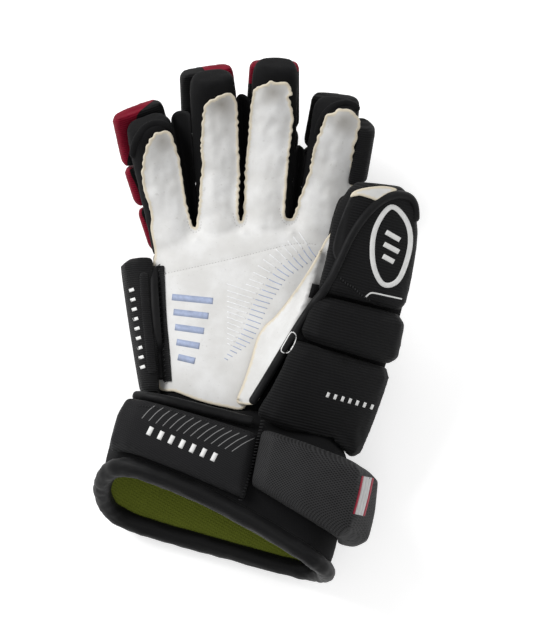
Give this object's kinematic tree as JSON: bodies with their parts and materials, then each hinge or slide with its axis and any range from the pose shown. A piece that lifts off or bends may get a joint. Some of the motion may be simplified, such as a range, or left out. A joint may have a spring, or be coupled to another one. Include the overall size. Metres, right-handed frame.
{
  "type": "ice hockey glove",
  "caption": "Padded right-hand ice hockey glove lying palm up, with leather palm, foam finger and thumb plates, and a wide lined cuff.",
  "frame": {"origin": "middle of the footprint, on the surface that the glove lies on", "axes": "+Y from the cuff to the fingertips, +X towards the thumb, +Z out of the palm"},
  "size_m": [0.2172, 0.354, 0.1158],
  "materials": {
    "mesh_fabric": "matt knitted polyester",
    "white_leather": "matt synthetic suede",
    "black_cover": "ribbed woven nylon over foam",
    "red_cover": "coated nylon over foam",
    "binding": "smooth folded tape",
    "green_lining": "brushed warp knit"
  },
  "bodies": {
    "root": {"hand_shell": "mesh_fabric", "thumb_stall": "mesh_fabric", "palm_panel": "white_leather", "thumb_leather": "white_leather", "pinky_stall": "mesh_fabric", "pinky_base_roll": "red_cover", "pinky_middle_roll": "red_cover", "pinky_tip_roll": "red_cover", "ring_stall": "mesh_fabric", "ring_base_roll": "black_cover", "ring_middle_roll": "black_cover", "ring_tip_roll": "red_cover", "middle_stall": "mesh_fabric", "middle_base_roll": "black_cover", "middle_middle_roll": "black_cover", "middle_tip_roll": "red_cover", "index_stall": "mesh_fabric", "index_base_roll": "black_cover", "index_middle_roll": "black_cover", "index_tip_roll": "black_cover", "index_side_pad": "black_cover", "wrist_roll": "black_cover", "back_roll": "black_cover", "knuckle_roll": "black_cover", "side_pad": "black_cover", "side_flap": "black_cover", "thumb_guard_base": "black_cover", "thumb_guard_middle": "black_cover", "thumb_guard_tip": "black_cover", "thumb_piping": "binding", "cuff_shell": "mesh_fabric", "cuff_liner": "green_lining", "cuff_binding": "binding", "cuff_front_pad": "black_cover", "cuff_front_roll": "binding", "cuff_thumb_pad": "black_cover", "cuff_back_pad": "black_cover"}
  },
  "joints": []
}
